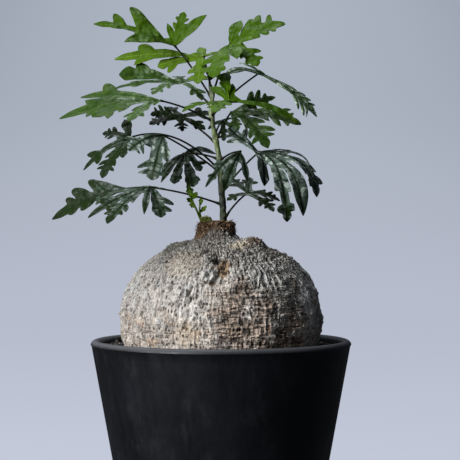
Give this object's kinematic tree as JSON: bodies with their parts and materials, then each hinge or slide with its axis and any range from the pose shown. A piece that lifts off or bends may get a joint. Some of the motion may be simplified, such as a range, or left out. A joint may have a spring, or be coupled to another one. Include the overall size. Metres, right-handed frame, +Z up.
{
  "type": "potted adenia",
  "caption": "Round grey caudex with a short brown neck and one slim stem of deeply cut hand-shaped leaves, set in dark grit in a tapered matte black pot.",
  "frame": {"origin": "centre of the pot's flat underside, on the pot's axis", "axes": "+Z up along the pot's axis, +X to the viewer's right and +Y away from the viewer, in the picture's view"},
  "size_m": [0.2066, 0.1788, 0.3982],
  "materials": {
    "pot": "matte black moulded plastic with a faint upright mottle",
    "soil": "coarse dark grit with a few tan grains",
    "bark": "dry pitted grey bark, browner and fibrous on the neck",
    "stem": "pale green with whitish streaks, darker at the foot",
    "leaf_young": "thin yellow-green young leaf",
    "leaf_bright": "bright green leaf with a soft sheen",
    "leaf_mixed": "mid green leaf with a grey-green gloss",
    "leaf_dark": "dark blue-green leaf with a greyish gloss"
  },
  "bodies": {
    "root": {"pot": "pot", "soil": "soil", "caudex": "bark", "stem": "stem", "leaf_a": "leaf_bright", "leaf_b": "leaf_young", "leaf_c": "leaf_bright", "leaf_d": "leaf_mixed", "leaf_e": "leaf_bright", "leaf_f": "leaf_mixed", "leaf_g": "leaf_mixed", "leaf_h": "leaf_mixed", "leaf_i": "leaf_dark", "leaf_j": "leaf_dark", "leaf_k": "leaf_dark", "leaf_l": "leaf_dark", "leaf_m": "leaf_dark", "leaf_n": "leaf_dark", "leaf_o": "leaf_dark", "leaf_p": "leaf_dark", "leaf_q": "leaf_dark", "side_shoot": "leaf_young", "shoot_tip": "leaf_young"}
  },
  "joints": []
}
